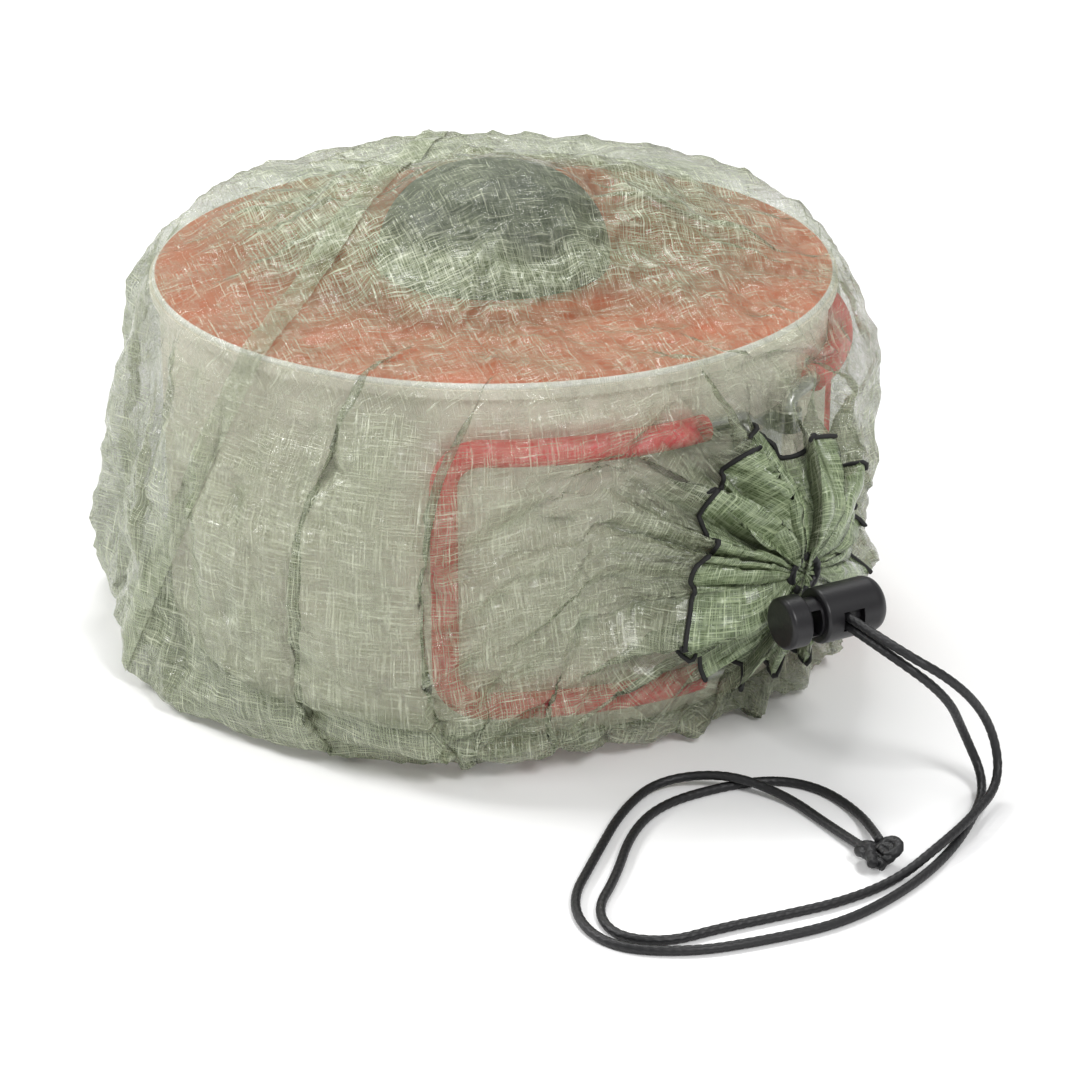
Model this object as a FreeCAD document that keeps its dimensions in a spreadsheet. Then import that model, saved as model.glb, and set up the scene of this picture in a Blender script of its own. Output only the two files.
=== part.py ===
import FreeCAD, Part
import Sketcher
import math
import os

# Drawstring stuff sack packed round a cooking pot, closed with a barrel cord lock.
# Millimetres. +Z is up, +X runs from the closed end towards the cinched mouth,
# and the origin lies on the resting plane under the axis of the pot.

V = FreeCAD.Vector
doc = FreeCAD.newDocument("stuff_sack")
sheet = doc.addObject("Spreadsheet::Sheet", "Sizes")

SIZES = [
    ("pot_radius", 78.0), ("pot_height", 86.0), ("pot_wall", 1.0), ("pot_corner", 8.0),
    ("rim_width", 2.0), ("rim_depth", 2.0),
    ("lid_thick", 1.2), ("lid_skirt", 6.0), ("lid_play", 0.3), ("lid_overhang", 1.4),
    ("knob_radius", 27.0), ("knob_height", 22.0), ("knob_round", 20.0), ("knob_hollow", 12.0),
    ("fabric_thick", 0.9), ("bag_slack", 10.5), ("bag_foot_slack", 4.5), ("bag_rim_slack", 5.0),
    ("tent_rise", 3.5), ("seam_reach", 70.0), ("seam_width", 7.0), ("seam_thick", 0.8),
    ("seam_yaw", 32.0), ("seam_tilt", 25.0),
    ("wire_dia", 3.5), ("sleeve_dia", 6.0), ("handle_gap", 0.4), ("handle_drop", 13.9),
    ("handle_low", 13.0), ("handle_sweep", 51.0), ("hinge_turn", 4.0), ("hinge_spread", 5.0),
    ("hinge_pin", 8.0), ("knuckle_dia", 6.2), ("knuckle_play", 0.1), ("plate_thick", 1.2),
    ("cord_dia", 2.0), ("cord_play", 0.05), ("stack_play", 0.25), ("cross_play", 0.25),
    ("thread_dia", 1.1), ("lock_reach", 35.0), ("lock_y", -6.5), ("lock_z", 38.0), ("lock_yaw", 16.0),
    ("barrel_dia", 12.4), ("barrel_front", 6.5), ("barrel_back", 9.5), ("barrel_round", 3.0),
    ("bore_dia", 9.0), ("bore_play", 0.1), ("bore_end_wall", 1.2), ("slot_half", 2.6),
    ("press_travel", 3.2), ("press_spare", 0.4), ("head_dia", 11.6), ("head_thick", 5.0),
    ("head_round", 1.0), ("stem_inner", 4.5), ("spring_pocket", 3.3), ("spring_dia", 5.6),
    ("spring_wire", 0.45), ("spring_turns", 4.5), ("spring_seat_play", 0.4),
    ("lock_slide", 8.0), ("mouth_reach", 10.5), ("ring_radius", 4.6), ("lip_half", 2.1),
    ("cone_reach", 20.0), ("cone_slope", 1.42), ("stitch_back", 13.0),
    ("knot_radius", 3.3), ("knot_end", 4.2),
]
for row, (name, value) in enumerate(SIZES, start=1):
    sheet.set(f"A{row}", name)
    sheet.set(f"B{row}", str(value))
    sheet.setAlias(f"B{row}", name)
doc.recompute()


def size(name):
    return float(sheet.get(name))


def sheet_ref(text):
    """Turn words of the sheet in an expression into references to it."""
    names = sorted((n for n, _ in SIZES), key=len, reverse=True)
    parts = text.split(" ")
    return " ".join(f"Sizes.{p}" if p in names else p for p in parts)


def bind(thing, prop, text):
    thing.setExpression(prop, sheet_ref(text))


def new_body(name, placement):
    body = doc.addObject("PartDesign::Body", name)
    body.Label = name
    body.Placement = placement
    return body


def plane(body, role):
    return next(f for f in body.Origin.OriginFeatures if f.Role == role)


def sketch_on(body, name, role, offset=None):
    sk = body.newObject("Sketcher::SketchObject", name)
    sk.AttachmentSupport = [(plane(body, role), "")]
    sk.MapMode = "FlatFace"
    if offset:
        bind(sk, "AttachmentOffset.Base.z", offset)
    return sk


def add_circle(sk, radius_text):
    index = sk.addGeometry(Part.Circle(V(0, 0, 0), V(0, 0, 1), 5.0), False)
    sk.addConstraint(Sketcher.Constraint("Coincident", index, 3, -1, 1))
    pick = sk.addConstraint(Sketcher.Constraint("Radius", index, 5.0))
    bind(sk, f"Constraints[{pick}]", radius_text)


def add_rectangle(sk, left, right, low, high):
    """Four lines whose sides are held at sheet distances from the sketch origin."""
    x0, x1, y0, y1 = -2.0, 2.0, -1.0, 1.0
    corners = [V(x0, y0, 0), V(x1, y0, 0), V(x1, y1, 0), V(x0, y1, 0)]
    ids = [sk.addGeometry(Part.LineSegment(corners[i], corners[(i + 1) % 4]), False)
           for i in range(4)]
    for i in range(4):
        sk.addConstraint(Sketcher.Constraint("Coincident", ids[i], 2, ids[(i + 1) % 4], 1))
    for i in (0, 2):
        sk.addConstraint(Sketcher.Constraint("Horizontal", ids[i]))
    for i in (1, 3):
        sk.addConstraint(Sketcher.Constraint("Vertical", ids[i]))
    for kind, corner, start, text in (("DistanceX", ids[0], x0, left), ("DistanceX", ids[1], x1, right),
                                      ("DistanceY", ids[0], y0, low), ("DistanceY", ids[2], y1, high)):
        pick = sk.addConstraint(Sketcher.Constraint(kind, -1, 1, corner, 1, start))
        bind(sk, f"Constraints[{pick}]", text)


def pad(body, sk, length_text, name):
    feature = body.newObject("PartDesign::Pad", name)
    feature.Profile = sk
    bind(feature, "Length", length_text)
    return feature


def pocket(body, sk, name, length_text=None, reverse=False):
    feature = body.newObject("PartDesign::Pocket", name)
    feature.Profile = sk
    if length_text is None:
        feature.Type = "ThroughAll"
        feature.Midplane = True
    else:
        bind(feature, "Length", length_text)
    feature.Reversed = reverse
    return feature


def circle_edges(feature, radius, height):
    """Names of the round edges of a feature at one radius and height."""
    found = []
    for index, edge in enumerate(feature.Shape.Edges, start=1):
        curve = edge.Curve
        if getattr(curve, "TypeId", "") == "Part::GeomCircle" or isinstance(curve, Part.Circle):
            if abs(curve.Radius - radius) < 1e-4 and abs(curve.Center.z - height) < 1e-4:
                found.append(f"Edge{index}")
    return found


def fillet(body, base, radius, height, round_text, name):
    doc.recompute()
    feature = body.newObject("PartDesign::Fillet", name)
    feature.Base = (base, circle_edges(base, radius, height))
    bind(feature, "Radius", round_text)
    return feature


def free_part(name, shape):
    part = doc.addObject("Part::Feature", name)
    part.Label = name
    part.Shape = shape
    return part


# The pot inside the sack.
potBase = size("fabric_thick")
potTop = potBase + size("pot_height")
upright = FreeCAD.Rotation()

pot = new_body("pot_body", FreeCAD.Placement(V(0, 0, potBase), upright))
bind(pot, "Placement.Base.z", "fabric_thick")
sk = sketch_on(pot, "PotOutline", "XY_Plane")
add_circle(sk, "pot_radius")
pad(pot, sk, "pot_height", "PotBlank")
sk = sketch_on(pot, "RimOutline", "XY_Plane", "pot_height - rim_depth")
add_circle(sk, "pot_radius + rim_width")
pad(pot, sk, "rim_depth", "PotRim")
sk = sketch_on(pot, "PotHollow", "XY_Plane", "pot_height")
add_circle(sk, "pot_radius - pot_wall")
hollow = pocket(pot, sk, "PotInside", "pot_height - pot_wall")
hollow = fillet(pot, hollow, size("pot_radius") - size("pot_wall"), size("pot_wall"),
                "pot_corner - pot_wall", "PotInnerHeel")
hollow = fillet(pot, hollow, size("pot_radius"), 0.0, "pot_corner", "PotHeel")

lid = new_body("pot_lid", FreeCAD.Placement(V(0, 0, potTop), upright))
bind(lid, "Placement.Base.z", "fabric_thick + pot_height")
sk = sketch_on(lid, "LidOutline", "XY_Plane")
add_circle(sk, "pot_radius + lid_overhang")
lidTop = pad(lid, sk, "lid_thick", "LidDisc")
lidTop = fillet(lid, lidTop, size("pot_radius") + size("lid_overhang"), size("lid_thick"),
                "lid_thick * 0.6", "LidEdge")
sk = sketch_on(lid, "LidSkirt", "XY_Plane", "-1 * lid_skirt")
add_circle(sk, "pot_radius - pot_wall - lid_play")
add_circle(sk, "pot_radius - pot_wall - lid_play - 0.9")
pad(lid, sk, "lid_skirt", "LidSkirtWall")

knob = new_body("lid_knob", FreeCAD.Placement(V(0, 0, potTop + size("lid_thick")), upright))
bind(knob, "Placement.Base.z", "fabric_thick + pot_height + lid_thick")
sk = sketch_on(knob, "KnobOutline", "XY_Plane")
add_circle(sk, "knob_radius")
dome = pad(knob, sk, "knob_height", "KnobBlank")
dome = fillet(knob, dome, size("knob_radius"), size("knob_height"), "knob_round", "KnobDome")
sk = sketch_on(knob, "KnobInside", "XY_Plane")
add_circle(sk, "knob_radius - 5")
pocket(knob, sk, "KnobHollow", "knob_hollow", reverse=True)

# The cord lock: its own axis is Z, the cords pass along its X.
yaw = math.radians(size("lock_yaw"))
outward = V(math.cos(yaw), -math.sin(yaw), 0)
sideways = V(math.sin(yaw), math.cos(yaw), 0)
lockTurn = FreeCAD.Rotation(outward, V(0, 0, -1), sideways, "ZXY")
lockCentre = V(size("pot_radius") + size("lock_reach"), size("lock_y"), size("lock_z"))
lockPlace = FreeCAD.Placement(lockCentre, lockTurn)


def lock_point(along, across, height):
    """World point from lock distances: along the cords, along the barrel, and up."""
    return lockCentre + outward * along + sideways * across + V(0, 0, height)


barrel = new_body("lock_barrel", lockPlace)
sk = sketch_on(barrel, "BarrelOutline", "XY_Plane", "-1 * barrel_front")
add_circle(sk, "barrel_dia / 2")
tube = pad(barrel, sk, "barrel_front + barrel_back", "BarrelBlank")
tube = fillet(barrel, tube, size("barrel_dia") / 2, size("barrel_back"), "barrel_round", "BarrelNose")
tube = fillet(barrel, tube, size("barrel_dia") / 2, -size("barrel_front"), "0.7 mm", "BarrelLip")
sk = sketch_on(barrel, "BoreOutline", "XY_Plane", "-1 * barrel_front")
add_circle(sk, "bore_dia / 2")
pocket(barrel, sk, "Bore", "barrel_front + barrel_back - bore_end_wall", reverse=True)
sk = sketch_on(barrel, "CordSlot", "YZ_Plane")
add_rectangle(sk, "-1 * cord_dia - stack_play", "cord_dia + stack_play", "-1 * slot_half", "slot_half")
pocket(barrel, sk, "CordPassage")

slotEdge = -size("slot_half") + size("cord_dia") + 2 * size("cord_play")
cordLine = -size("slot_half") + size("cord_dia") / 2 + size("cord_play")
plunger = new_body("lock_plunger", lockPlace)
sk = sketch_on(plunger, "StemOutline", "XY_Plane", "-1 * barrel_front - press_travel - press_spare")
add_circle(sk, "bore_dia / 2 - bore_play")
pad(plunger, sk, "barrel_front + press_travel + press_spare + stem_inner", "Stem")
sk = sketch_on(plunger, "HeadOutline", "XY_Plane",
               "-1 * barrel_front - press_travel - press_spare - head_thick")
add_circle(sk, "head_dia / 2")
head = pad(plunger, sk, "head_thick", "Head")
headInner = -size("barrel_front") - size("press_travel") - size("press_spare")
head = fillet(plunger, head, size("head_dia") / 2, headInner - size("head_thick"), "head_round", "HeadEdge")
head = fillet(plunger, head, size("head_dia") / 2, headInner, "head_round * 0.6", "HeadBack")
sk = sketch_on(plunger, "PlungerSlot", "YZ_Plane")
add_rectangle(sk, "-1 * cord_dia - stack_play", "cord_dia + stack_play",
              "-3 * slot_half + cord_dia + 2 * cord_play - 0.3", "-1 * slot_half + cord_dia + 2 * cord_play")
pocket(plunger, sk, "PlungerPassage")
sk = sketch_on(plunger, "SpringSeat", "XY_Plane", "stem_inner")
add_circle(sk, "spring_dia / 2 + spring_seat_play")
pocket(plunger, sk, "SpringPocket", "spring_pocket")
sk = sketch_on(plunger, "NeckWindow", "YZ_Plane")
add_rectangle(sk, "-0.26 * head_dia", "0.26 * head_dia",
              "-1 * barrel_front - press_travel - press_spare + 0.6",
              "-1 * barrel_front - press_spare * 1.5")
pocket(plunger, sk, "NeckOpening")
doc.recompute()

springFrom = size("stem_inner") - size("spring_pocket")
springTo = size("barrel_back") - size("bore_end_wall")
springHeight = springTo - springFrom - size("spring_wire") - 0.1
springRadius = (size("spring_dia") - size("spring_wire")) / 2
turnSteps = int(size("spring_turns") * 12)
coilPoints = []
for step in range(turnSteps + 1):
    turn = 2 * math.pi * step / 12
    coilPoints.append(V(springRadius * math.cos(turn), springRadius * math.sin(turn),
                        springHeight * step / turnSteps))
coilCurve = Part.BSplineCurve()
coilCurve.interpolate(coilPoints)
coilStart = Part.makeCircle(size("spring_wire") / 2, coilPoints[0], coilCurve.tangent(0)[0])
coil = Part.Wire(coilCurve.toShape()).makePipeShell([Part.Wire(coilStart)], True, True)
coil.translate(V(0, 0, springFrom + size("spring_wire") / 2 + 0.05))
coil.Placement = lockPlace.multiply(coil.Placement)
spring = free_part("lock_spring", coil)


# Round bars along a route of straight runs joined by tangent arcs.
def rounded_route(points, closed=False):
    """Wire through points, each corner replaced by an arc; also its tightest radius."""
    count = len(points)
    corners = range(count) if closed else range(1, count - 1)
    arcs = {}
    tightest = 1e9
    for i in corners:
        before, here, after = points[i - 1], points[i], points[(i + 1) % count]
        run_in, run_out = here - before, after - here
        turn = run_in.getAngle(run_out)
        setback = 0.45 * min(run_in.Length, run_out.Length)
        radius = setback / math.tan(turn / 2)
        tightest = min(tightest, radius)
        first = here - V(run_in).normalize() * setback
        last = here + V(run_out).normalize() * setback
        inward = (V(run_out).normalize() - V(run_in).normalize()).normalize()
        depth = radius / math.cos(turn / 2) - radius
        arcs[i] = (first, here + inward * depth, last)
    edges = []
    spans = range(count) if closed else range(count - 1)
    for i in spans:
        j = (i + 1) % count
        start = arcs[i][2] if i in arcs else points[i]
        stop = arcs[j][0] if j in arcs else points[j]
        edges.append(Part.LineSegment(start, stop).toShape())
        if j in arcs:
            edges.append(Part.Arc(*arcs[j]).toShape())
    return Part.Wire(edges), tightest


def bar(points, diameter, closed=False):
    wire, tightest = rounded_route(points, closed)
    start = points[0] if not closed else wire.Edges[0].valueAt(wire.Edges[0].FirstParameter)
    heading = points[1] - points[0]
    ring = Part.Wire(Part.makeCircle(diameter / 2, start, heading))
    solid = wire.makePipeShell([ring], True, False)
    return solid, wire.Length, tightest


def report_cord(name, solid, length, tightest, diameter):
    expected = math.pi * diameter ** 2 / 4 * length
    print(f"{name}: length {length:.1f} tightest radius {tightest:.1f} "
          f"volume ratio {solid.Volume / expected:.3f}")


# Folding wire handles with soft sleeves, hinged on a welded bracket.
handleTop = potTop - size("handle_drop")
barRadius = size("pot_radius") + size("handle_gap") + size("sleeve_dia") / 2
hingeMiddle = size("hinge_turn")


def on_pot(angle, height, radius=None):
    reach = barRadius if radius is None else radius
    a = math.radians(angle)
    return V(reach * math.cos(a), reach * math.sin(a), height)


def handle_points(side):
    """U-shaped wire: pin, upper leg round the pot, far end, lower leg, pin."""
    top, low = handleTop, size("handle_low")
    start = hingeMiddle + side * size("hinge_spread")
    steps = [start + side * size("handle_sweep") * k / 4 for k in range(5)]
    points = [on_pot(start, top - size("hinge_pin"))]
    points += [on_pot(a, top) for a in steps]
    points += [on_pot(a, low) for a in reversed(steps)]
    points += [on_pot(start, low + size("hinge_pin"))]
    return points


sleeve_cut_angle = 9.0
for label, side in (("left", -1), ("right", 1)):
    path = handle_points(side)
    wire_bar = bar(path, size("wire_dia"))[0]
    free_part(f"handle_wire_{label}", wire_bar)
    jacket = bar(path, size("sleeve_dia"))[0].cut(wire_bar)
    keep_from = hingeMiddle + side * (size("hinge_spread") + sleeve_cut_angle)
    block = Part.makeBox(200, 200, 200, V(0, 0, -50))
    block.rotate(V(0, 0, 0), V(0, 0, 1), keep_from - (90 if side < 0 else 0))
    free_part(f"handle_sleeve_{label}", jacket.common(block))

plateHigh = handleTop - 3
plateLow = size("handle_low") + 3
spread = size("hinge_spread")
outer = Part.makeCylinder(size("pot_radius") + size("plate_thick"), plateHigh - plateLow, V(0, 0, plateLow))
plate = outer.cut(Part.makeCylinder(size("pot_radius"), plateHigh - plateLow, V(0, 0, plateLow)))
window = Part.makeBox(120, 2 * math.radians(spread + 1) * size("pot_radius"), 100,
                      V(0, -math.radians(spread + 1) * size("pot_radius"), 0))
window.rotate(V(0, 0, 0), V(0, 0, 1), hingeMiddle)
plate = plate.common(window)
pinHole = size("wire_dia") / 2 + size("knuckle_play")
knuckleLong = size("hinge_pin") - size("wire_dia") / 2 - 1.5
for side in (-1, 1):
    centre = on_pot(hingeMiddle + side * spread, 0)
    for foot in (plateHigh - knuckleLong, plateLow):
        boss = Part.makeCylinder(size("knuckle_dia") / 2, knuckleLong, centre + V(0, 0, foot))
        web = Part.makeBox(barRadius - size("pot_radius") - 0.2, 3.0, knuckleLong,
                           V(size("pot_radius") + 0.3, -1.5, foot))
        web.rotate(V(0, 0, 0), V(0, 0, 1), hingeMiddle + side * spread)
        boss = boss.fuse(web).cut(Part.makeCylinder(size("pot_radius"), 200, V(0, 0, -20)))
        plate = plate.fuse(boss)
    plate = plate.cut(Part.makeCylinder(pinHole, 200, centre + V(0, 0, -20)))
free_part("handle_bracket", plate.removeSplitter())

# The sack: a baggy drum with a gathered mouth, cut into its sewn pieces.
rimHeight = potTop + size("lid_thick")
knobTop = rimHeight + size("knob_height")


def drum(grow):
    """Solid of revolution of the filled sack, its skin moved out by grow."""
    foot = size("pot_radius") + size("bag_foot_slack")
    middle = size("pot_radius") + size("bag_slack") + grow
    rimR = size("pot_radius") + size("bag_rim_slack") + grow
    low = V(foot - 5 + grow, 0, -grow)
    heel = V(foot + 3 + grow, 0, 8)
    waist = V(middle, 0, rimHeight * 0.5)
    brow = V(rimR, 0, rimHeight + 2 + grow * 0.6)
    knee = V(size("knob_radius") + 2, 0, knobTop - 3.5 + grow)
    shoulder = V(size("knob_radius") * 0.55, 0, knobTop + size("tent_rise") - 1.6 + grow)
    crown = V(0, 0, knobTop + size("tent_rise") - 0.6 + grow)
    edges = [
        Part.LineSegment(V(0, 0, -grow), low),
        Part.LineSegment(low, heel),
        Part.Arc(heel, waist, brow),
        Part.LineSegment(brow, knee),
        Part.LineSegment(knee, shoulder),
        Part.LineSegment(shoulder, crown),
        Part.LineSegment(crown, V(0, 0, -grow)),
    ]
    face = Part.Face(Part.Wire([e.toShape() for e in edges]))
    return face.revolve(V(0, 0, 0), V(0, 0, 1), 360)


mouthCentre = lock_point(-size("mouth_reach"), cordLine, size("ring_radius"))
mouthAngle = math.degrees(math.atan2(mouthCentre.y, mouthCentre.x))
mouthPlace = FreeCAD.Placement(mouthCentre, FreeCAD.Rotation(V(0, 0, 1), mouthAngle))
lipRadius = size("ring_radius") + size("lip_half")


def cone(grow):
    """Funnel of gathered cloth that narrows to the lip round the drawcord."""
    back = size("cone_reach")
    wide = lipRadius + back * size("cone_slope") + grow
    solid = Part.makeCone(wide, lipRadius + grow, back, V(-back, 0, 0), V(1, 0, 0))
    solid.Placement = mouthPlace
    return solid


def mouth_solid(shape):
    shape.Placement = mouthPlace.multiply(shape.Placement)
    return shape


thick = size("fabric_thick")
skin = drum(0).fuse(cone(0)).cut(drum(-thick).fuse(cone(-thick)))
floorSlab = Part.makeBox(400, 400, 50, V(-200, -200, -50))
skin = skin.cut(floorSlab)
forward = mouth_solid(Part.makeBox(60, 80, 80, V(-size("stitch_back"), -40, -40)))
seamYaw, seamTilt = math.radians(size("seam_yaw")), math.radians(size("seam_tilt"))
seamFacing = V(math.cos(seamYaw) * math.cos(seamTilt), math.sin(seamYaw) * math.cos(seamTilt),
               -math.sin(seamTilt))


def seam_slab(back, front):
    """Box square to the slanting end seam, between two distances from the seam."""
    slab = Part.makeBox(front - back, 400, 400, V(back - size("seam_reach"), -200, -200))
    slab.Placement = FreeCAD.Placement(V(0, 0, 0), FreeCAD.Rotation(V(1, 0, 0), seamFacing))
    return slab


endSide = seam_slab(-200, 0)

lip = mouth_solid(Part.makeTorus(size("ring_radius"), size("lip_half"), V(0, 0, 0), V(1, 0, 0)))
stack = size("cord_dia") / 2 + size("cord_play")
strandStart = 3.2 - size("mouth_reach")


def cord_stub(radius, height, reach):
    """Short straight bar leaving the foot of the ring along the cords."""
    return Part.makeCylinder(radius, reach, lock_point(-size("mouth_reach"), cordLine, height), outward)


ringCord = Part.makeTorus(size("ring_radius"), size("cord_dia") / 2, V(0, 0, 0), V(1, 0, 0))
ringCord = mouth_solid(ringCord)
for height in (stack, -stack):
    ringCord = ringCord.fuse(cord_stub(size("cord_dia") / 2, height, strandStart + size("mouth_reach")))
ringRoom = Part.makeTorus(size("ring_radius"), size("cord_dia") / 2 + 0.1, V(0, 0, 0), V(1, 0, 0))
ringRoom = mouth_solid(ringRoom).fuse(cord_stub(size("cord_dia") + 0.3, 0, 10))
free_part("channel_cord", ringCord)

hollowLip = lip.cut(ringRoom)
hem = skin.common(forward).cut(lip).fuse(hollowLip)
hem = max(hem.Solids, key=lambda s: s.Volume)
free_part("drawcord_channel", hem)
rest = skin.cut(forward)
free_part("sack_body", rest.cut(endSide))
free_part("sack_end_panel", rest.common(endSide))

strip = drum(size("seam_thick")).cut(drum(0)).cut(floorSlab)
strip = strip.common(seam_slab(-size("seam_width") / 2, size("seam_width") / 2))
free_part("end_seam_strip", strip)

stitchRadius = lipRadius + size("stitch_back") * size("cone_slope")
gap = size("thread_dia") / 2 * 1.25
thread = Part.makeTorus(stitchRadius + gap, size("thread_dia") / 2,
                        V(-size("stitch_back") + gap, 0, 0), V(1, 0, 0))
free_part("channel_stitching", mouth_solid(thread))

# The two free strands of the drawcord and the knot that joins them; both lie out from the lock.
low = size("cord_dia") / 2 + 0.05
over = low + size("cord_dia") + size("cross_play")


def laid(ahead, aside, height):
    """World point by its distances from the lock over the ground, and its height."""
    return V(lockCentre.x + ahead, lockCentre.y + aside, height)


knotCentre = laid(34.8, -26.1, size("knot_radius") + 0.1)
leave = size("barrel_dia") / 2 + size("lock_slide") + 0.6
firstTurn = leave + 8.6
strandA = [
    lock_point(strandStart, cordLine, stack), lock_point(firstTurn, cordLine, stack),
    laid(30.5, 3.9, 29.5), laid(30.6, 16.3, 15.2), laid(34.8, 14.8, over + 0.1),
    laid(40.4, -3.0, over + 0.2), laid(42.9, -17.0, over), laid(43.2, -30.5, low),
    laid(41.0, -45.0, low), laid(35.6, -58.5, low),
    laid(30.2, -71.0, low), laid(26.6, -82.1, low), laid(17.6, -87.9, low), laid(7.8, -83.1, low),
    laid(1.6, -70.9, low), laid(-9.4, -54.7, low), laid(-13.4, -41.0, low), laid(-9.8, -26.3, low),
    laid(-3.8, -15.1, low), laid(6.4, -11.1, low), laid(18.8, -13.9, low + 0.1),
    laid(28.6, -20.1, low + 1.35),
    knotCentre + V(-1.2, 1.3, stack),
]
strandB = [
    lock_point(strandStart, cordLine, -stack), lock_point(firstTurn - 0.8, cordLine, -stack),
    laid(28.0, 3.1, 26.0), laid(24.6, 14.1, 12.2), laid(30.8, 14.9, low + 0.55), laid(38.6, 0.1, low),
    laid(44.4, -16.1, low), laid(47.2, -32.9, low), laid(46.6, -51.1, low), laid(40.4, -66.7, low),
    laid(32.2, -82.1, low), laid(18.6, -92.3, low), laid(2.6, -85.9, low), laid(-7.4, -67.7, low),
    laid(-17.6, -48.9, low), laid(-20.8, -33.9, low + 0.55), laid(-9.4, -24.3, over + 0.6),
    laid(3.8, -19.7, low + 0.45),
    laid(18.4, -22.9, low + 0.1), knotCentre + V(-1.6, -1.0, -stack),
]
ball = Part.makeSphere(size("knot_radius"), V(0, 0, 0))
stretch = FreeCAD.Matrix()
stretch.scale(1.2, 1.0, 1.0)
ball = ball.transformGeometry(stretch)
ball.translate(knotCentre)
tipOne = Part.makeCylinder(size("cord_dia") / 2, size("knot_radius") + size("knot_end"),
                           knotCentre + V(0.6, 0, 0.6), V(0.75, -0.66, -0.12))
tipTwo = Part.makeCylinder(size("cord_dia") / 2, size("knot_radius") + size("knot_end") * 0.8,
                           knotCentre + V(0.4, 0.3, -0.5), V(0.98, -0.12, -0.08))
knotSolid = ball.fuse([tipOne, tipTwo]).removeSplitter()
for label, points in (("a", strandA), ("b", strandB)):
    solid, length, tightest = bar(points, size("cord_dia"))
    report_cord(f"drawcord_strand_{label}", solid, length, tightest, size("cord_dia"))
    free = solid.cut(knotSolid)
    free = max(free.Solids, key=lambda s: s.Volume)
    free_part(f"drawcord_strand_{label}", free)
free_part("drawcord_knot", knotSolid)

# Check every piece, then write it.
doc.recompute()
os.makedirs("parts", exist_ok=True)
pieces = [o for o in doc.Objects
          if o.TypeId in ("PartDesign::Body", "Part::Feature") and o.Label != "Sizes"]
for item in doc.Objects:
    if "Invalid" in item.State or "Error" in item.State:
        raise RuntimeError(f"{item.Label} is in state {item.State}")
for item in pieces:
    if item.Shape.isNull() or not item.Shape.isValid() or not item.Shape.Solids:
        raise RuntimeError(f"{item.Label} has no valid solid")
for item in pieces:
    item.Shape.exportStep(f"parts/{item.Label}.step")
    box = item.Shape.BoundBox
    print(f"{item.Label}: {len(item.Shape.Solids)} solid, {item.Shape.Volume:.1f} mm3, "
          f"x {box.XMin:.1f}..{box.XMax:.1f} y {box.YMin:.1f}..{box.YMax:.1f} "
          f"z {box.ZMin:.1f}..{box.ZMax:.1f}")
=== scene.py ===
import bpy
import bmesh
import math
import numpy as np
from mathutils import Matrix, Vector, noise
from mathutils.bvhtree import BVHTree


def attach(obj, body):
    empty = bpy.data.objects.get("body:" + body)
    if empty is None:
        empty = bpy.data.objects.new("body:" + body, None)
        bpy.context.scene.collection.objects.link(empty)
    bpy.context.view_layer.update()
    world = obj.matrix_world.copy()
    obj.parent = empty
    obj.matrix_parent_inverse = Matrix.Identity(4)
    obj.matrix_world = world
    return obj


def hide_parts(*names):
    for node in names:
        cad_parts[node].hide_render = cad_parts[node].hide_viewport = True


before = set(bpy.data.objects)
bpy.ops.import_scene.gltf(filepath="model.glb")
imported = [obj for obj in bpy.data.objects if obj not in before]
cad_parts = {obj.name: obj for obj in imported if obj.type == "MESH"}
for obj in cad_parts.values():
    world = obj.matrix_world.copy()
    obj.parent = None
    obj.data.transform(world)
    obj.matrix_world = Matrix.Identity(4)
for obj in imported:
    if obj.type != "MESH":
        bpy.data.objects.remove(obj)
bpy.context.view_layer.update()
scene = bpy.context.scene
mm = 0.001


def report(text):
    print("stuff sack:", text)


# camera and studio
view = {"turn": 45.0, "lift": 24.0, "distance": 0.80, "aimAcross": 0.01074, "aimUp": 0.01691, "lens": 110.3}
turn, lift = math.radians(view["turn"]), math.radians(view["lift"])
viewBack = Vector((math.sin(turn) * math.cos(lift), -math.cos(turn) * math.cos(lift), math.sin(lift)))
viewRight = Vector((math.cos(turn), math.sin(turn), 0))
aim = viewRight * view["aimAcross"] + Vector((0, 0, view["aimUp"]))
cameraData = bpy.data.cameras.new("viewCamera")
cameraData.lens = view["lens"]
cameraData.clip_start = 0.05
camera = bpy.data.objects.new("viewCamera", cameraData)
scene.collection.objects.link(camera)
camera.location = aim + viewBack * view["distance"]
camera.rotation_euler = (-viewBack).to_track_quat("-Z", "Y").to_euler()
scene.camera = camera
scene.view_settings.view_transform = "Standard"
scene.view_settings.look = "None"

# materials: shared node groups


def socketSet(node, values):
    for name, value in values.items():
        node.inputs[name].default_value = value


def newGroup(name, inputs, outputs):
    group = bpy.data.node_groups.new(name, "ShaderNodeTree")
    for label, kind, value in inputs:
        item = group.interface.new_socket(label, in_out="INPUT", socket_type=kind)
        if value is not None:
            item.default_value = value
    for label, kind in outputs:
        group.interface.new_socket(label, in_out="OUTPUT", socket_type=kind)
    start = group.nodes.new("NodeGroupInput")
    end = group.nodes.new("NodeGroupOutput")
    return group, start, end


def mathNode(tree, operation, a, b=None, clamp=False):
    node = tree.nodes.new("ShaderNodeMath")
    node.operation = operation
    node.use_clamp = clamp
    for index, source in enumerate((a, b)):
        if source is None:
            continue
        if hasattr(source, "is_output"):
            tree.links.new(source, node.inputs[index])
        else:
            node.inputs[index].default_value = source
    return node.outputs[0]


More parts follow.
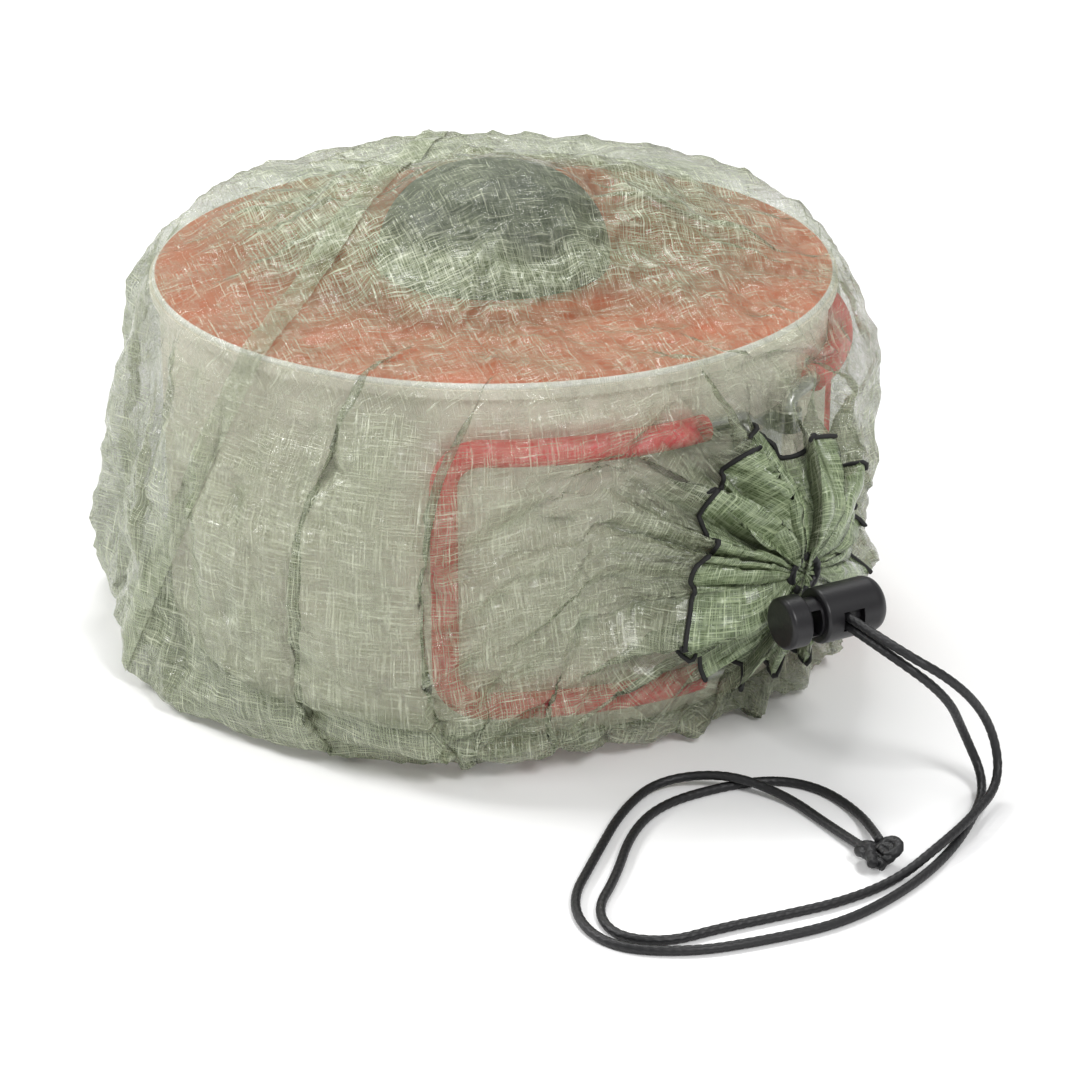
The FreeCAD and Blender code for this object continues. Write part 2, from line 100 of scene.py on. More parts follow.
# streaks: noise squeezed along one direction, cut to a mask between low and high
def stretchedNoise(tree, vector, stretch, scale, detail, low, high, flipped=False):
    mapping = tree.nodes.new("ShaderNodeMapping")
    mapping.inputs["Scale"].default_value = stretch
    tree.links.new(vector, mapping.inputs["Vector"])
    texture = tree.nodes.new("ShaderNodeTexNoise")
    socketSet(texture, {"Scale": scale, "Detail": detail, "Roughness": 0.6})
    tree.links.new(mapping.outputs[0], texture.inputs["Vector"])
    ramp = tree.nodes.new("ShaderNodeMapRange")
    socketSet(ramp, {"From Min": low, "From Max": high})
    tree.links.new(texture.outputs["Fac"], ramp.inputs["Value"])
    return ramp.outputs[0]


# loose crossed fibres of the laminate, as fine broken lines in two directions
def fibreGroup():
    group, start, end = newGroup(
        "fibreNet", [("Vector", "NodeSocketVector", None)],
        [("Fibres", "NodeSocketFloat"), ("Cloud", "NodeSocketFloat"), ("Height", "NodeSocketFloat")])
    vector = start.outputs["Vector"]
    along = stretchedNoise(group, vector, (110, 3900, 1), 1.0, 2, 0.46, 0.62)
    across = stretchedNoise(group, vector, (3900, 120, 1), 1.0, 2, 0.46, 0.62)
    coarseAlong = stretchedNoise(group, vector, (85, 2100, 1), 1.0, 2, 0.55, 0.68)
    coarseAcross = stretchedNoise(group, vector, (2100, 90, 1), 1.0, 2, 0.55, 0.68)
    fine = mathNode(group, "MAXIMUM", along, across)
    coarse = mathNode(group, "MAXIMUM", coarseAlong, coarseAcross)
    fineShare = mathNode(group, "MULTIPLY", fine, 0.6)
    both = mathNode(group, "ADD", fineShare, mathNode(group, "MULTIPLY", coarse, 0.5), True)
    cloud = stretchedNoise(group, start.outputs["Vector"], (45, 45, 1), 1.0, 3, 0.35, 0.65)
    group.links.new(both, end.inputs["Fibres"])
    group.links.new(cloud, end.inputs["Cloud"])
    group.links.new(both, end.inputs["Height"])
    return group


# hard little creases of a film that has been crushed and opened again
def crinkleGroup():
    group, start, end = newGroup(
        "crinkle", [("Vector", "NodeSocketVector", None), ("Size", "NodeSocketFloat", 90.0)],
        [("Height", "NodeSocketFloat"), ("Facets", "NodeSocketFloat")])
    warp = group.nodes.new("ShaderNodeTexNoise")
    socketSet(warp, {"Scale": 60.0, "Detail": 3.0})
    group.links.new(start.outputs["Vector"], warp.inputs["Vector"])
    push = group.nodes.new("ShaderNodeVectorMath")
    push.operation = "MULTIPLY_ADD"
    push.inputs[1].default_value = (0.012, 0.012, 0.012)
    group.links.new(warp.outputs["Color"], push.inputs[0])
    group.links.new(start.outputs["Vector"], push.inputs[2])
    total = None
    for factor, weight in ((1.0, 1.0), (2.3, 0.45), (5.1, 0.18)):
        cells = group.nodes.new("ShaderNodeTexVoronoi")
        cells.feature = "F1"
        size = mathNode(group, "MULTIPLY", start.outputs["Size"], factor)
        group.links.new(size, cells.inputs["Scale"])
        group.links.new(push.outputs[0], cells.inputs["Vector"])
        part = mathNode(group, "MULTIPLY", cells.outputs["Distance"], weight)
        total = part if total is None else mathNode(group, "ADD", total, part)
        if factor == 1.0:
            group.links.new(cells.outputs["Distance"], end.inputs["Facets"])
    group.links.new(total, end.inputs["Height"])
    return group


fibreNet = fibreGroup()
crinkle = crinkleGroup()


def newMaterial(name):
    material = bpy.data.materials.new(name)
    material.use_nodes = True
    tree = material.node_tree
    shader = next(n for n in tree.nodes if n.type == "BSDF_PRINCIPLED")
    return material, tree, shader


def useGroup(tree, group, links):
    node = tree.nodes.new("ShaderNodeGroup")
    node.node_tree = group
    for name, source in links.items():
        if hasattr(source, "is_output"):
            tree.links.new(source, node.inputs[name])
        else:
            node.inputs[name].default_value = source
    return node


def mixColor(tree, factor, first, second):
    node = tree.nodes.new("ShaderNodeMix")
    node.data_type = "RGBA"
    tree.links.new(factor, node.inputs[0])
    for index, source in ((6, first), (7, second)):
        if hasattr(source, "is_output"):
            tree.links.new(source, node.inputs[index])
        else:
            node.inputs[index].default_value = (*source, 1)
    return node.outputs[2]


# the fold tint is the colour of painted shade laid into the valleys of the cloth
laminateLook = {
    "clear": 0.06, "solid": 0.60, "tint": (0.15, 0.19, 0.09), "fibre": (0.56, 0.59, 0.44),
    "hollow": (0.055, 0.072, 0.030), "away": 0.42, "deep": 0.42, "facing": 0.34,
    "shine": 0.07, "dull": 0.27, "crease": 1.0, "creaseDepth": 0.0030,
}
doubleLook = dict(laminateLook, clear=0.42, solid=0.86, tint=(0.12, 0.17, 0.075), fibre=(0.46, 0.54, 0.33))
seamLook = dict(laminateLook, clear=0.20, solid=0.55, tint=(0.22, 0.27, 0.14), facing=0.15)


def laminateMaterial(name, look):
    material, tree, shader = newMaterial(name)
    coords = tree.nodes.new("ShaderNodeTexCoord")
    net = useGroup(tree, fibreNet, {"Vector": coords.outputs["UV"]})
    folds = useGroup(tree, crinkle, {"Vector": coords.outputs["UV"], "Size": 95.0})
    color = mixColor(tree, net.outputs["Fibres"], look["tint"], look["fibre"])
    foldShadeAndLayering = tree.nodes.new("ShaderNodeAttribute")   # where the cloth is folded in: painted shade in the fold valleys, and more cover where it lies double
    foldShadeAndLayering.attribute_name = "foldShadeAndLayering"
    # painted shade: the colour is darkened towards a dark tint in the fold valleys
    shade = mathNode(tree, "MULTIPLY", foldShadeAndLayering.outputs["Fac"], 0.8)
    tree.links.new(mixColor(tree, shade, color, look["hollow"]), shader.inputs["Base Color"])
    alpha = tree.nodes.new("ShaderNodeMapRange")
    socketSet(alpha, {"To Min": look["clear"], "To Max": look["solid"]})
    spread = mathNode(tree, "ADD", mathNode(tree, "MULTIPLY", net.outputs["Fibres"], 0.7),
                      mathNode(tree, "MULTIPLY", net.outputs["Cloud"], 0.3))
    tree.links.new(spread, alpha.inputs["Value"])
    edgeOn = tree.nodes.new("ShaderNodeLayerWeight")
    edgeOn.inputs["Blend"].default_value = 0.35
    rise = mathNode(tree, "MULTIPLY", edgeOn.outputs["Facing"], look["facing"])
    stand = tree.nodes.new("ShaderNodeAttribute")   # how far the cloth stands off what it covers
    stand.attribute_name = "standOff"
    hazed = mathNode(tree, "MULTIPLY", stand.outputs["Fac"], look["away"])
    doubled = mathNode(tree, "MULTIPLY", foldShadeAndLayering.outputs["Fac"], look["deep"])
    covered = mathNode(tree, "ADD", alpha.outputs[0], mathNode(tree, "ADD", hazed, doubled))
    tree.links.new(mathNode(tree, "ADD", covered, rise, True), shader.inputs["Alpha"])
    rough = tree.nodes.new("ShaderNodeMapRange")
    socketSet(rough, {"To Min": look["shine"], "To Max": look["dull"]})
    tree.links.new(net.outputs["Cloud"], rough.inputs["Value"])
    tree.links.new(rough.outputs[0], shader.inputs["Roughness"])
    bumpFold = tree.nodes.new("ShaderNodeBump")
    socketSet(bumpFold, {"Strength": look["crease"], "Distance": look["creaseDepth"]})
    tree.links.new(folds.outputs["Height"], bumpFold.inputs["Height"])
    bumpFibre = tree.nodes.new("ShaderNodeBump")
    socketSet(bumpFibre, {"Strength": 0.5, "Distance": 0.00015})
    tree.links.new(net.outputs["Height"], bumpFibre.inputs["Height"])
    tree.links.new(bumpFold.outputs[0], bumpFibre.inputs["Normal"])
    tree.links.new(bumpFibre.outputs[0], shader.inputs["Normal"])
    shader.inputs["Specular IOR Level"].default_value = 0.7
    shader.inputs["Coat Weight"].default_value = 0.22
    shader.inputs["Coat Roughness"].default_value = 0.10
    return material


# plain moulded, spun or drawn surface with a fine grain and slight variation
def solidMaterial(name, color, rough, metallic=0.0, grain=900.0, depth=0.00004, vary=0.12, coat=0.0):
    material, tree, shader = newMaterial(name)
    coords = tree.nodes.new("ShaderNodeTexCoord")
    speckle = tree.nodes.new("ShaderNodeTexNoise")
    socketSet(speckle, {"Scale": grain, "Detail": 3.0})
    tree.links.new(coords.outputs["Object"], speckle.inputs["Vector"])
    broad = tree.nodes.new("ShaderNodeTexNoise")
    socketSet(broad, {"Scale": 28.0, "Detail": 3.0})
    tree.links.new(coords.outputs["Object"], broad.inputs["Vector"])
    dark = tuple(c * (1 - vary) for c in color)
    light = tuple(min(1.0, c * (1 + vary)) for c in color)
    tree.links.new(mixColor(tree, broad.outputs["Fac"], dark, light), shader.inputs["Base Color"])
    roughMap = tree.nodes.new("ShaderNodeMapRange")
    socketSet(roughMap, {"To Min": max(0.05, rough - 0.08), "To Max": min(1.0, rough + 0.08)})
    tree.links.new(broad.outputs["Fac"], roughMap.inputs["Value"])
    tree.links.new(roughMap.outputs[0], shader.inputs["Roughness"])
    bump = tree.nodes.new("ShaderNodeBump")
    socketSet(bump, {"Strength": 0.6, "Distance": depth})
    tree.links.new(speckle.outputs["Fac"], bump.inputs["Height"])
    tree.links.new(bump.outputs[0], shader.inputs["Normal"])
    shader.inputs["Metallic"].default_value = metallic
    shader.inputs["Coat Weight"].default_value = coat
    return material


laminate = laminateMaterial("laminate", laminateLook)
laminateDouble = laminateMaterial("laminateDouble", doubleLook)
laminateSeam = laminateMaterial("laminateSeam", seamLook)
cordMaterial = solidMaterial("braidedCord", (0.007, 0.007, 0.008), 0.5, grain=2500, depth=0.0001)
threadMaterial = solidMaterial("twistedThread", (0.012, 0.012, 0.012), 0.75, grain=3000, depth=0.0001)
lockMaterial = solidMaterial("lockPlastic", (0.007, 0.0065, 0.008), 0.40, grain=1600, depth=0.00006)
springMaterial = solidMaterial("springSteel", (0.6, 0.6, 0.62), 0.3, metallic=1.0)
potMaterial = solidMaterial("potMetal", (0.80, 0.745, 0.64), 0.42, metallic=0.25, grain=500)
lidMaterial = solidMaterial("lidOrange", (0.56, 0.105, 0.035), 0.5)
knobMaterial = solidMaterial("knobDark", (0.015, 0.022, 0.020), 0.5)
handleMaterial = solidMaterial("handleSteel", (0.6, 0.6, 0.6), 0.32, metallic=1.0)
sleeveMaterial = solidMaterial("sleeveRed", (0.74, 0.06, 0.085), 0.45)


# the rolled edge of the lid is bare bright metal, painted near white to carry a painted highlight along the
# rim
def rimMetalAndGlint(material, radius, width, color):
    tree = material.node_tree
    shader = next(n for n in tree.nodes if n.type == "BSDF_PRINCIPLED")
    under = shader.inputs["Base Color"].links[0].from_socket
    coords = tree.nodes.new("ShaderNodeTexCoord")
    level = tree.nodes.new("ShaderNodeVectorMath")
    level.operation = "MULTIPLY"
    level.inputs[1].default_value = (1, 1, 0)
    tree.links.new(coords.outputs["Object"], level.inputs[0])
    reach = tree.nodes.new("ShaderNodeVectorMath")
    reach.operation = "LENGTH"
    tree.links.new(level.outputs[0], reach.inputs[0])
    edge = tree.nodes.new("ShaderNodeMapRange")
    socketSet(edge, {"From Min": radius, "From Max": radius + width})
    tree.links.new(reach.outputs["Value"], edge.inputs["Value"])
    tree.links.new(mixColor(tree, edge.outputs[0], under, color), shader.inputs["Base Color"])


rimMetalAndGlint(lidMaterial, 0.0785, 0.0003, (0.86, 0.85, 0.80))

for node, material in (
    ("lock_barrel", lockMaterial), ("lock_plunger", lockMaterial), ("lock_spring", springMaterial),
    ("pot_body", potMaterial), ("pot_lid", lidMaterial), ("lid_knob", knobMaterial),
    ("handle_bracket", handleMaterial), ("handle_wire_left", handleMaterial),
    ("handle_wire_right", handleMaterial), ("handle_sleeve_left", sleeveMaterial),
    ("handle_sleeve_right", sleeveMaterial),
):
    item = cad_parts[node]
    item = bpy.data.objects[item] if isinstance(item, str) else item
    for slot in item.material_slots:
        slot.material = material

# cords
lockCentre = Vector((0.113, -0.0065, 0.038))
yaw = math.radians(16)
outward = Vector((math.cos(yaw), -math.sin(yaw), 0))
sideways = Vector((math.sin(yaw), math.cos(yaw), 0))
cordSize = {"diameter": 0.002}


# point from distances along the cords, along the barrel and up, in mm
def lockPoint(along, across, height):
    return lockCentre + outward * along * mm + sideways * across * mm + Vector((0, 0, height * mm))


routeA = [lockPoint(-7.3, -1.55, 1.05), lockPoint(23.4, -1.55, 1.05)] + [Vector(p) * mm for p in (
    (143.5, -2.6, 29.5), (143.6, 9.8, 15.2), (147.8, 8.3, 3.4), (153.4, -9.5, 3.5), (155.9, -23.5, 3.3),
    (156.2, -37.0, 1.05), (154.0, -51.5, 1.05), (148.6, -65.0, 1.05), (143.2, -77.5, 1.05),
    (139.6, -88.6, 1.05), (130.6, -94.4, 1.05), (120.8, -89.6, 1.05), (114.6, -77.4, 1.05),
    (103.6, -61.2, 1.05), (99.6, -47.5, 1.05), (103.2, -32.8, 1.05), (109.2, -21.6, 1.05),
    (119.4, -17.6, 1.05), (131.8, -20.4, 1.15), (141.6, -26.6, 2.4), (146.6, -31.3, 4.45))]
routeB = [lockPoint(-7.3, -1.55, -1.05), lockPoint(22.6, -1.55, -1.05)] + [Vector(p) * mm for p in (
    (141.0, -3.4, 26.0), (137.6, 7.6, 12.2), (143.8, 8.4, 1.6), (151.6, -6.4, 1.05), (157.4, -22.6, 1.05),
    (160.2, -39.4, 1.05), (159.6, -57.6, 1.05), (153.4, -73.2, 1.05), (145.2, -88.6, 1.05),
    (131.6, -98.8, 1.05), (115.6, -92.4, 1.05), (105.6, -74.2, 1.05), (95.4, -55.4, 1.05),
    (92.2, -40.4, 1.6), (103.6, -30.8, 3.9), (116.8, -26.2, 1.5), (131.4, -29.4, 1.15), (146.2, -33.6, 2.35))]


def splineCurve(name, points, bevel=0.0):
    data = bpy.data.curves.new(name, "CURVE")
    data.dimensions = "3D"
    data.resolution_u = 10
    data.bevel_depth = bevel
    data.bevel_resolution = 4
    data.use_fill_caps = True
    spline = data.splines.new("NURBS")
    spline.points.add(len(points) - 1)
    for target, point in zip(spline.points, points):
        target.co = (*point, 1)
    spline.order_u = 3
    spline.use_endpoint_u = True
    thing = bpy.data.objects.new(name, data)
    scene.collection.objects.link(thing)
    return thing


# evenly spaced points along the smooth spline through a route
def curveLine(points, count):
    guide = splineCurve("guide", points)
    guide.data.resolution_u = 24
    bpy.context.view_layer.update()
    mesh = bpy.data.meshes.new_from_object(guide)
    line = np.array([v.co[:] for v in mesh.vertices])
    bpy.data.objects.remove(guide, do_unlink=True)
    bpy.data.meshes.remove(mesh)
    steps = np.r_[0, np.cumsum(np.linalg.norm(np.diff(line, axis=0), axis=1))]
    wanted = np.linspace(0, steps[-1], count)
    return np.stack([np.interp(wanted, steps, line[:, k]) for k in range(3)], 1), steps[-1]


def makeMesh(name, points, faces, material, smooth=True):
    mesh = bpy.data.meshes.new(name)
    mesh.from_pydata([tuple(p) for p in points], [], faces)
    mesh.update()
    mesh.materials.append(material)
    thing = bpy.data.objects.new(name, mesh)
    scene.collection.objects.link(thing)
    if smooth:
        mesh.polygons.foreach_set("use_smooth", [True] * len(mesh.polygons))
    return thing


# unit tangents and two steady normals along a line of points
def frames(line):
    tangent = np.gradient(line, axis=0)
    tangent /= np.linalg.norm(tangent, axis=1)[:, None]
    side = np.zeros_like(line)
    hint = np.array([0.0, 0.0, 1.0])
    if abs(tangent[0] @ hint) > 0.9:
        hint = np.array([0.0, 1.0, 0.0])
    last = np.cross(hint, tangent[0])
    for i, t in enumerate(tangent):
        last = last - t * (last @ t)
        last /= np.linalg.norm(last)
        side[i] = last
    return tangent, side, np.cross(tangent, side)


braid = {"pitch": 0.0085}


# round braid: the surface of a tube raised where strands of two hands cross
def braidedTube(name, line, radius, material, pitch=None, sides=20):
    pitch = pitch or braid["pitch"]
    tangent, side, other = frames(line)
    along = np.r_[0, np.cumsum(np.linalg.norm(np.diff(line, axis=0), axis=1))]
    angle = np.linspace(0, 2 * math.pi, sides, endpoint=False)
    a, s = np.meshgrid(angle, along)
    left = np.cos(4 * (a + 2 * math.pi * s / pitch))
    right = np.cos(4 * (a - 2 * math.pi * s / pitch))
    lift = np.maximum(left, right)
    r = radius * (0.94 + 0.085 * lift)
    shape = (line[:, None, :] + side[:, None, :] * (r * np.cos(a))[..., None]
             + other[:, None, :] * (r * np.sin(a))[..., None])
    rows = len(line)
    points = shape.reshape(-1, 3).tolist()
    faces = []
    for i in range(rows - 1):
        for k in range(sides):
            n = (k + 1) % sides
            faces.append((i * sides + k, i * sides + n, (i + 1) * sides + n, (i + 1) * sides + k))
    points += [line[0].tolist(), line[-1].tolist()]
    for k in range(sides):
        n = (k + 1) % sides
        faces.append((n, k, rows * sides))
        faces.append(((rows - 1) * sides + k, (rows - 1) * sides + n, rows * sides + 1))
    return makeMesh(name, points, faces, material)


for name, route, node in (("strandA", routeA, "drawcord_strand_a"), ("strandB", routeB, "drawcord_strand_b")):
    line, length = curveLine(route, 760)
    piece = braidedTube(name, line, cordSize["diameter"] / 2, cordMaterial)
    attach(piece, "sack")
    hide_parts(node)
    report(f"{name} length {length:.4f} m")

# knot: an overhand knot tied in both strands, with two cut ends
knotCentre = Vector((0.1478, -0.0326, 0.0034))
knotSize = {"reach": 0.0035, "tail": 0.0058}


# closed-up overhand loop of one strand, shifted sideways from its neighbour
def knotLine(offset, tailTurn):
    points = []
    for i in range(15):
        t = -1.25 + i * (2 * math.pi - 1.1) / 14 + 0.6
        r = knotSize["reach"] * (0.62 + 0.42 * math.cos(3 * t / 2))
        points.append(Vector((r * math.cos(t) * 1.1, r * math.sin(t), 0.0011 * math.sin(3 * t / 2 + 0.4))))
    points = [p + Vector((offset * 0.4, offset, offset * 0.8)) + knotCentre for p in points]
    start = points[0]
    points.insert(0, start + Vector((-0.0026, 0.0012, 0.0)))
    end = points[-1]
    heading = Vector((math.cos(tailTurn), math.sin(tailTurn), -0.15)).normalized()
    points += [end + heading * knotSize["tail"] * 0.5, end + heading * knotSize["tail"]]
    return [Vector((p.x, p.y, max(p.z, 0.00105))) for p in points]


knotPieces = []
for index, (offset, tailTurn) in enumerate(((0.00055, -0.75), (-0.00065, -0.1))):
    line, length = curveLine(knotLine(offset, tailTurn), 150)
    knotPieces.append(braidedTube(f"knotTurn{index}", line, 0.00115, cordMaterial))
bpy.context.view_layer.update()
knot = knotPieces[0]
merged = bmesh.new()
for piece in knotPieces:
    merged.from_mesh(piece.data)
merged.to_mesh(knot.data)
merged.free()
bpy.data.objects.remove(knotPieces[1], do_unlink=True)
knot.name = "drawcordKnot"
knot.data.polygons.foreach_set("use_smooth", [True] * len(knot.data.polygons))
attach(knot, "sack")
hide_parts("drawcord_knot")
report("cords and knot made")

# sack
sack = {
    "around": 320, "along": 220,
    "middle": 0.0890, "rim": 0.0832, "rimHeight": 0.0905, "foot": 0.0850, "knee": 0.0285,
    "kneeHeight": 0.1080, "crown": 0.1128, "flatAround": 0.56, "hemReach": 0.028,
}
heart = np.array([0.0, 0.0, 0.048])
ringCentre = Vector((0.1025, -0.0051, 0.0426))
mouthTurn = math.atan2(ringCentre.y, ringCentre.x)
mouthAxis = np.array([math.cos(mouthTurn), math.sin(mouthTurn), 0.0])
mouthSide = np.array([-math.sin(mouthTurn), math.cos(mouthTurn), 0.0])
upAxis = np.array([0.0, 0.0, 1.0])
turnCount = 160


def ringFaces(rows, turns, base=0):
    faces = []
    for i in range(rows - 1):
        for k in range(turns):
            n = (k + 1) % turns
            low, high = base + i * turns, base + (i + 1) * turns
            faces.append((low + k, low + n, high + n, high + k))
    return faces


# points and faces of an outline of (radius, height) turned about the upright axis
def lathe(profile, turns):
    angle = np.linspace(0, 2 * math.pi, turns, endpoint=False)
    points = [(r * math.cos(a), r * math.sin(a), z) for r, z in profile for a in angle]
    return points, ringFaces(len(profile), turns)


# filled shape of the sack before it settles: a baggy drum with a funnel to the mouth
def hullTree():
    foot, rim, rimHeight = sack["foot"], sack["rim"], sack["rimHeight"]
    profile = [(0.0, 0.0004), (foot - 0.002, 0.0004), (foot + 0.001, 0.003)]
    bulge = sack["middle"] - 0.5 * (foot + rim)
    for k in range(1, 12):
        share = k / 12
        edge = foot + 0.001 + (rim - foot - 0.001) * share
        profile.append((edge + bulge * (1 - (2 * share - 1) ** 2), 0.003 + (rimHeight - 0.003) * share))
    profile += [(rim, rimHeight), (rim - 0.004, rimHeight + 0.0016), (0.055, 0.0985),
                (sack["knee"], sack["kneeHeight"]), (0.015, sack["crown"] - 0.001), (0.0, sack["crown"])]
    points, faces = lathe(profile, turnCount)
    base = len(points)
    funnel = [(-0.030, 0.050), (-0.021, 0.0375), (-0.016, 0.030), (-0.010, 0.0215), (-0.004, 0.012),
              (-0.001, 0.0065), (0.0, 0.0015), (0.0, 0.0)]
    centre = np.array(ringCentre)
    for x, r in funnel:
        for k in range(turnCount):
            a = 2 * math.pi * k / turnCount
            points.append(tuple(
                centre + mouthAxis * x + (mouthSide * math.cos(a) + upAxis * math.sin(a)) * r))
    return BVHTree.FromPolygons(points, faces + ringFaces(len(funnel), turnCount, base))


# the things inside, as one plain mesh that the cloth rests on
contents = {"potRadius": 0.078, "lidRadius": 0.0794, "lidTop": 0.0881, "knobRadius": 0.027,
            "knobTop": 0.1101, "knobRound": 0.020, "barRadius": 0.0814, "handleTop": 0.073,
            "handleLow": 0.013, "hinge": 4.0, "spread": 5.0, "sweep": 51.0}


def contentsMesh():
    c = contents
    straight = c["knobTop"] - c["knobRound"]
    dome = [(c["knobRadius"] - c["knobRound"] * (1 - math.cos(a)), straight + c["knobRound"] * math.sin(a))
            for a in np.linspace(0, math.pi / 2, 9)]
    profile = [(0.0, 0.0009), (0.070, 0.0009), (c["potRadius"], 0.009), (c["potRadius"], 0.084),
               (c["lidRadius"], 0.085), (c["lidRadius"], c["lidTop"] - 0.0006),
               (c["lidRadius"] - 0.001, c["lidTop"]),
               (c["knobRadius"], c["lidTop"])] + dome + [(0.0, c["knobTop"])]
    points, faces = lathe(profile, 96)
    for side in (-1, 1):
        start = c["hinge"] + side * c["spread"]
        angles = [math.radians(start + side * c["sweep"] * k / 10) for k in range(11)]
        path = [(angles[0], c["handleTop"] - 0.008)] + [(a, c["handleTop"]) for a in angles]
        path += [(a, c["handleLow"]) for a in reversed(angles)] + [(angles[0], c["handleLow"] + 0.008)]
        line = np.array([(c["barRadius"] * math.cos(a), c["barRadius"] * math.sin(a), z) for a, z in path])
        tangent, first, second = frames(line)
        base, sides = len(points), 10
        for p, m, n in zip(line, first, second):
            for k in range(sides):
                a = 2 * math.pi * k / sides
                points.append(tuple(p + (m * math.cos(a) + n * math.sin(a)) * 0.003))
        faces += ringFaces(len(line), sides, base)
    return points, faces


# points of the plain shape by turn round the mouth axis and distance from the mouth
def hullTable(psiCount=240, thetaCount=520, stepCount=360):
    tree = hullTree()
    poleDir = np.array(ringCentre) - heart
    poleDir /= np.linalg.norm(poleDir)
    sideDir = np.cross(upAxis, poleDir)
    sideDir /= np.linalg.norm(sideDir)
    topDir = np.cross(poleDir, sideDir)
    table = np.zeros((psiCount, stepCount, 3))
    lengths = np.zeros(psiCount)
    for i in range(psiCount):
        turned = 2 * math.pi * i / psiCount
        edge = sideDir * math.cos(turned) + topDir * math.sin(turned)
        path = []
        for k in range(thetaCount + 1):
            theta = math.pi * k / thetaCount
            ray = Vector(poleDir * math.cos(theta) + edge * math.sin(theta))
            hit = tree.ray_cast(Vector(heart) + ray * 0.4, -ray)[0]
            path.append(hit[:] if hit else path[-1])
        path = np.array(path)
        steps = np.r_[0, np.cumsum(np.linalg.norm(np.diff(path, axis=0), axis=1))]
        lengths[i] = steps[-1]
        wanted = np.linspace(0, steps[-1], stepCount)
        table[i] = np.stack([np.interp(wanted, steps, path[:, c]) for c in range(3)], 1)
    return table, lengths


def blur(values, times, axis, wrap):
    for _ in range(times):
        if wrap:
            values = (np.roll(values, 1, axis) + 2 * values + np.roll(values, -1, axis)) / 4
        else:
            padded = np.concatenate([values[:, :1], values, values[:, -1:]], 1)
            values = (padded[:, :-2] + 2 * padded[:, 1:-1] + padded[:, 2:]) / 4
    return values


hullPoints, hullLengths = hullTable()
for _ in range(2):
    hullPoints = blur(hullPoints, 1, 0, True)
    hullPoints[:, 3:] = blur(hullPoints, 1, 1, False)[:, 3:]
hullNormals = np.cross(np.roll(hullPoints, -1, 0) - np.roll(hullPoints, 1, 0),
                       np.gradient(hullPoints, axis=1))
hullNormals /= np.maximum(np.linalg.norm(hullNormals, axis=2), 1e-12)[..., None]
hullNormals *= np.sign(((hullPoints - heart) * hullNormals).sum(2).mean())
hullNormals = blur(blur(hullNormals, 6, 0, True), 8, 1, False)
hullNormals /= np.linalg.norm(hullNormals, axis=2)[..., None]
report(f"plain shape ready, meridians {hullLengths.min():.3f} to {hullLengths.max():.3f} m")


# bilinear read of a table by turn in radians and share of the meridian
def pick(table, turned, share):
    rows, columns = table.shape[:2]
    x = (turned / (2 * math.pi)) % 1.0 * rows
    y = np.clip(share, 0, 1) * (columns - 1)
    i0 = np.floor(x).astype(int) % rows
    i1 = (i0 + 1) % rows
    j0 = np.minimum(np.floor(y).astype(int), columns - 2)
    fx, fy = (x - np.floor(x))[..., None], (y - j0)[..., None]
    return ((table[i0, j0] * (1 - fx) + table[i1, j0] * fx) * (1 - fy)
            + (table[i0, j0 + 1] * (1 - fx) + table[i1, j0 + 1] * fx) * fy)


def smoothstep(x):
    x = np.clip(x, 0, 1)
    return x * x * (3 - 2 * x)


# signed distance between turns, as shares of the whole turn
def turnGap(a, b):
    return (a - b + 0.5) % 1.0 - 0.5


u, v = np.meshgrid(np.arange(sack["around"]) / sack["around"], np.linspace(0, 1, sack["along"]),
                   indexing="ij")
v = v ** 1.12
meanLength = float(hullLengths.mean())
dist = v * meanLength

# pleats that run out from the mouth, each with its own width, height, reach and sideways bend
pleats = {"count": 27, "height": (0.0034, 0.0110), "reach": (0.014, 0.046), "longReach": (0.045, 0.088),
          "longFrom": 0.40, "longTo": 0.66, "bend": 0.55, "sharp": 0.8}
rng = np.random.default_rng(11)
height = np.zeros_like(dist)
sidestep = np.zeros_like(dist)
spots = np.cumsum(rng.uniform(0.35, 1.65, pleats["count"]))
spots = spots / (spots[-1] + rng.uniform(0.4, 1.2))
for spot in spots:
    long = pleats["longFrom"] < spot < pleats["longTo"] and rng.uniform() < 0.75
    reach = rng.uniform(*pleats["longReach" if long else "reach"])
    width = rng.uniform(0.010, 0.030)
    bend = rng.uniform(-1, 1) * pleats["bend"]
    away = turnGap(u, spot + bend * np.maximum(0, dist - 0.012) + 0.004 * np.sin(dist * 110 + spot * 40))
    across = np.abs(away) / (width * (0.75 + 3.0 * dist))
    crest = np.maximum(0, 1 - across) ** pleats["sharp"]
    fade = (0.16 + 0.84 * smoothstep(dist / 0.017)) * np.exp(-(np.maximum(0, dist - 0.024) / reach) ** 1.4)
    tall = rng.uniform(*pleats["height"])
    height += crest * fade * tall
    sidestep += np.sign(bend) * crest * fade * tall * 0.5
fine = np.zeros_like(dist)
for spot in rng.uniform(0, 1, 46):
    away = turnGap(u, spot + rng.uniform(-0.4, 0.4) * dist)
    crest = np.maximum(0, 1 - np.abs(away) / rng.uniform(0.004, 0.010))
    fine += (crest * rng.uniform(0.0009, 0.0030)
             * np.exp(-np.maximum(0, dist - 0.016) / rng.uniform(0.010, 0.034)))
height += fine * smoothstep(dist / 0.012) - 0.0022 * np.exp(-np.maximum(0, dist - 0.02) / 0.03)

